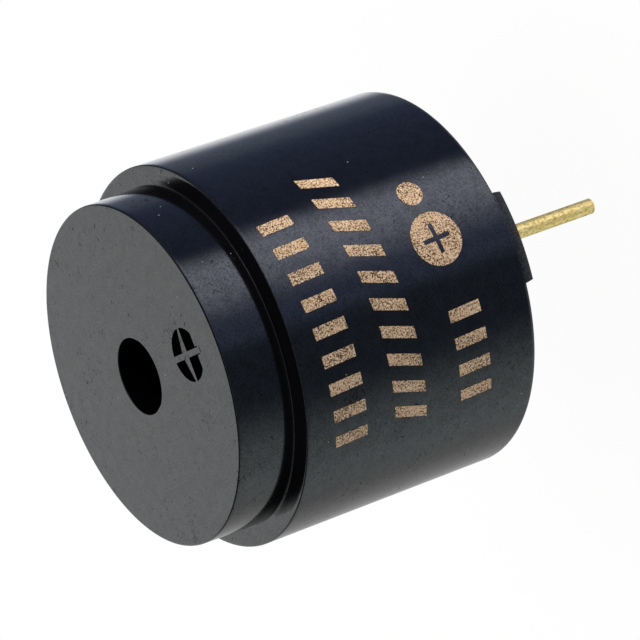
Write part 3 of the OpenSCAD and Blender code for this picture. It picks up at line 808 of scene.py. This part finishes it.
# %% [markdown]
# ## Pin plating
# Brass wire with a thin plating reads as pale gold. The plating is satin and a little lumpy, so
# the streak of light along a pin breaks up, and the hollows between the lumps are painted darker, as
# shade. A smooth metal would show one clean streak, so the lumps get a true bump as well as a painted shade.

# %% Pin finish
plating, tree = new_finish("plated_brass_pin")
at = add(tree, "TexCoord", out="Object")
# the lumps are about 0.09 mm across, and a little longer along the wire, as it was drawn
lumps = mottle(tree, at, 0.09, longer=(1, 1, 1.7))
patch = add(tree, "MapRange", {"Value": mottle(tree, at, 0.35), "From Min": 0.35, "From Max": 0.65})
colour = add(tree, "Mix", {0: patch, 6: linear("#fbe8a4"), 7: linear("#eed485")}, out=2, data_type="RGBA")
# painted shade: the colour turns darker (#cdb068) in the hollows between the lumps, where the bump sinks
hollow_shade = add(tree, "MapRange", {"Value": lumps, "From Min": 0.45, "From Max": 0.7})
colour = add(tree, "Mix", {0: hollow_shade, 6: colour, 7: linear("#cdb068")}, out=2, data_type="RGBA")
rough = add(
    tree, "MapRange", {"Value": lumps, "From Min": 0.3, "From Max": 0.7, "To Min": 0.54, "To Max": 0.68}
)
bumps = add(tree, "Bump", {"Height": lumps, "Distance": 0.014 * MM, "Strength": 0.6})
finish_surface(tree, {"Base Color": colour, "Metallic": 1.0, "Roughness": rough, "Normal": bumps})
for piece, node in ((pin, "positive_pin"), (second_pin, "negative_pin")):
    piece.data.materials.clear()
    piece.data.materials.append(plating)
    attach(piece, "root")
    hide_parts(node)
print("pins finished")

# %% [markdown]
# ## Print on the side
# The print is a thin coat of tan ink, stamped on. It is matt (index 1.45, roughness 0.7) and
# patchy: the stamp leaves fine specks of bare plastic, and more of them where it pressed lightly.
# The printed shapes stand 0.02 mm proud as solids. Specks cut into them would take thousands of
# faces, so they are a tone in the finish.

# %% Ink finish
ink, tree = new_finish("tan_marking_ink")
at = add(tree, "TexCoord", out="Object")
# the real specks are a few hundredths of a millimetre, and 0.06 mm is as fine as can show
speck = mottle(tree, at, 0.06, detail=2.5)
# the pressure of the stamp changes from one millimetre to the next
patch = mottle(tree, at, 1.4)
cover = add(tree, "MapRange", {"Value": patch, "From Min": 0.35, "From Max": 0.65})
tone = add(tree, "Mix", {0: cover, 6: linear("#dcb78e"), 7: linear("#cca677")}, out=2, data_type="RGBA")
thick = add(tree, "MapRange", {"Value": speck, "From Min": 0.5, "From Max": 0.36})
tone = add(tree, "Mix", {0: thick, 6: tone, 7: linear("#f0d8c0")}, out=2, data_type="RGBA")
press = add(
    tree, "MapRange", {"Value": patch, "From Min": 0.3, "From Max": 0.7, "To Min": -0.03, "To Max": 0.05}
)
bare = add(tree, "Math", {0: speck, 1: press}, operation="ADD")
bare = add(tree, "MapRange", {"Value": bare, "From Min": 0.51, "From Max": 0.62})
tone = add(tree, "Mix", {0: bare, 6: tone, 7: linear("#3a2e24")}, out=2, data_type="RGBA")
bumps = add(tree, "Bump", {"Height": speck, "Distance": 0.01 * MM, "Strength": 0.4})
finish_surface(tree, {"Base Color": tone, "Roughness": 0.7, "IOR": 1.45, "Normal": bumps})
print("ink ready")

# %% [markdown]
# ## The works
# Inside the case nothing shows, but each piece still gets the finish of its real material, so
# that the model is right when it is taken apart. These materials differ only in tone,
# grain and gloss, so one function makes them all: two close tones and a varied roughness, from
# one pattern as wide as the real grain. Where that is finer than a few hundredths of a
# millimetre, as on sheet metal and fired ceramic, it is drawn at 0.06 to 0.12 mm, so that it shows.


# %% Two-tone finishes
UNEVEN = 0.12  # how much rougher the light tone is than the dark one


def two_tone(name, dark, light, size_mm, rough, put, longer=(1, 1, 1), depth_mm=0.0):
    """A material with two close tones in a fine pattern, and a bump from the same pattern."""
    material, tree = new_finish(name)
    pattern = mottle(tree, add(tree, "TexCoord", out="Object"), size_mm, longer=longer)
    spread = add(tree, "MapRange", {"Value": pattern, "From Min": 0.3, "From Max": 0.7})
    tone = add(tree, "Mix", {0: spread, 6: linear(dark), 7: linear(light)}, out=2, data_type="RGBA")
    uneven = add(tree, "Math", {0: spread, 1: UNEVEN, 2: rough}, operation="MULTIPLY_ADD")
    values = {"Base Color": tone, "Roughness": uneven, **put}
    if depth_mm:
        values["Normal"] = add(tree, "Bump", {"Height": pattern, "Distance": depth_mm * MM, "Strength": 0.5})
    finish_surface(tree, values)
    return material


METAL = {"Metallic": 1.0}
finishes = {"marking_ink": ink}
print("two-tone finishes can be made")

# %% Metals of the works
# rolled nickel-iron sheet: a warm grey satin, with fine lines along the roll
finishes["nickel_iron"] = two_tone(
    "rolled_nickel_iron", "#a9a8a3", "#b9b8b2", 0.1, 0.28, METAL, longer=(10, 1, 1), depth_mm=0.002
)
# turned soft steel: a cool grey, with fine lines round the walls where the tool passed
finishes["soft_steel"] = two_tone(
    "turned_soft_steel", "#8f9092", "#a3a4a6", 0.08, 0.32, METAL, longer=(6, 6, 1), depth_mm=0.003
)
# turned brass: yellow and satin, with the same fine lines
finishes["ring_brass"] = two_tone(
    "turned_brass", "#b79b5c", "#c9ae6c", 0.08, 0.3, METAL, longer=(6, 6, 1), depth_mm=0.003
)
# enamelled copper wire: red-brown and shiny, in rings as fine as the turns of the winding
finishes["magnet_wire"] = two_tone(
    "enamelled_copper_wire", "#8a3f1e", "#b4612f", 0.09, 0.25, METAL, longer=(20, 20, 1), depth_mm=0.03
)
# etched copper foil: pink-orange and even
finishes["copper"] = two_tone("etched_copper", "#b87350", "#c98460", 0.1, 0.3, METAL, depth_mm=0.002)
# bright tin, on leads and as solder: pale and nearly a mirror
finishes["tin"] = two_tone("bright_tin", "#b9bbbd", "#cbcdcf", 0.12, 0.22, METAL, depth_mm=0.003)
print("metals:", len(finishes) - 1)

# %% Other materials of the works
# sintered ferrite: charcoal grey and dull, with a sandy grain
finishes["ferrite"] = two_tone(
    "sintered_ferrite", "#232325", "#303033", 0.07, 0.6, {"IOR": 2.0}, depth_mm=0.01
)
# natural nylon: milky, with a soft sheen
finishes["bobbin_nylon"] = two_tone("natural_nylon", "#cfc9b8", "#ddd8c9", 0.5, 0.4, {"IOR": 1.53})
# fish paper, a vulcanised fibre: brown and matt, with faint fibres one way
finishes["fish_paper"] = two_tone(
    "fish_paper", "#9c7d5c", "#a98a69", 0.15, 0.75, {"IOR": 1.5}, longer=(1, 2.5, 1), depth_mm=0.008
)
# phenolic paper laminate: golden brown, half matt, with paper fibres under the resin
finishes["board_laminate"] = two_tone(
    "phenolic_paper_laminate",
    "#9c7a44",
    "#ad8a52",
    0.25,
    0.5,
    {"IOR": 1.55},
    longer=(1, 3.3, 1),
    depth_mm=0.004,
)
# moulded epoxy of the small chips: near black and matt, with a fine even texture
finishes["chip_epoxy"] = two_tone(
    "moulded_epoxy", "#1a1a1c", "#242427", 0.06, 0.55, {"IOR": 1.55}, depth_mm=0.004
)
# glazed alumina: white, smooth and faintly uneven
finishes["chip_ceramic"] = two_tone("glazed_alumina", "#d9dad4", "#e6e7e2", 0.1, 0.3, {"IOR": 1.76})
# black potting epoxy, poured: a mirror with slow waves
finishes["resin"] = two_tone(
    "black_potting_epoxy", "#0e0e10", "#141416", 1.2, 0.08, {"IOR": 1.55}, depth_mm=0.02
)
print("finishes:", len(finishes))

# %% [markdown]
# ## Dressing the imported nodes
# The record says which material slot each node has, so the finishes are handed out by slot.

# %% Hand out the finishes
replaced = {"case", "positive_pin", "negative_pin"}
for part in frame["record"]["subparts"]:
    if part["node"] in replaced:
        continue
    node = nodes[part["node"]]
    node.data.materials.clear()
    node.data.materials.append(finishes[part["material_slot"]])
    print(part["node"], "is finished as", finishes[part["material_slot"]].name)

# %% Update the scene
bpy.context.view_layer.update()
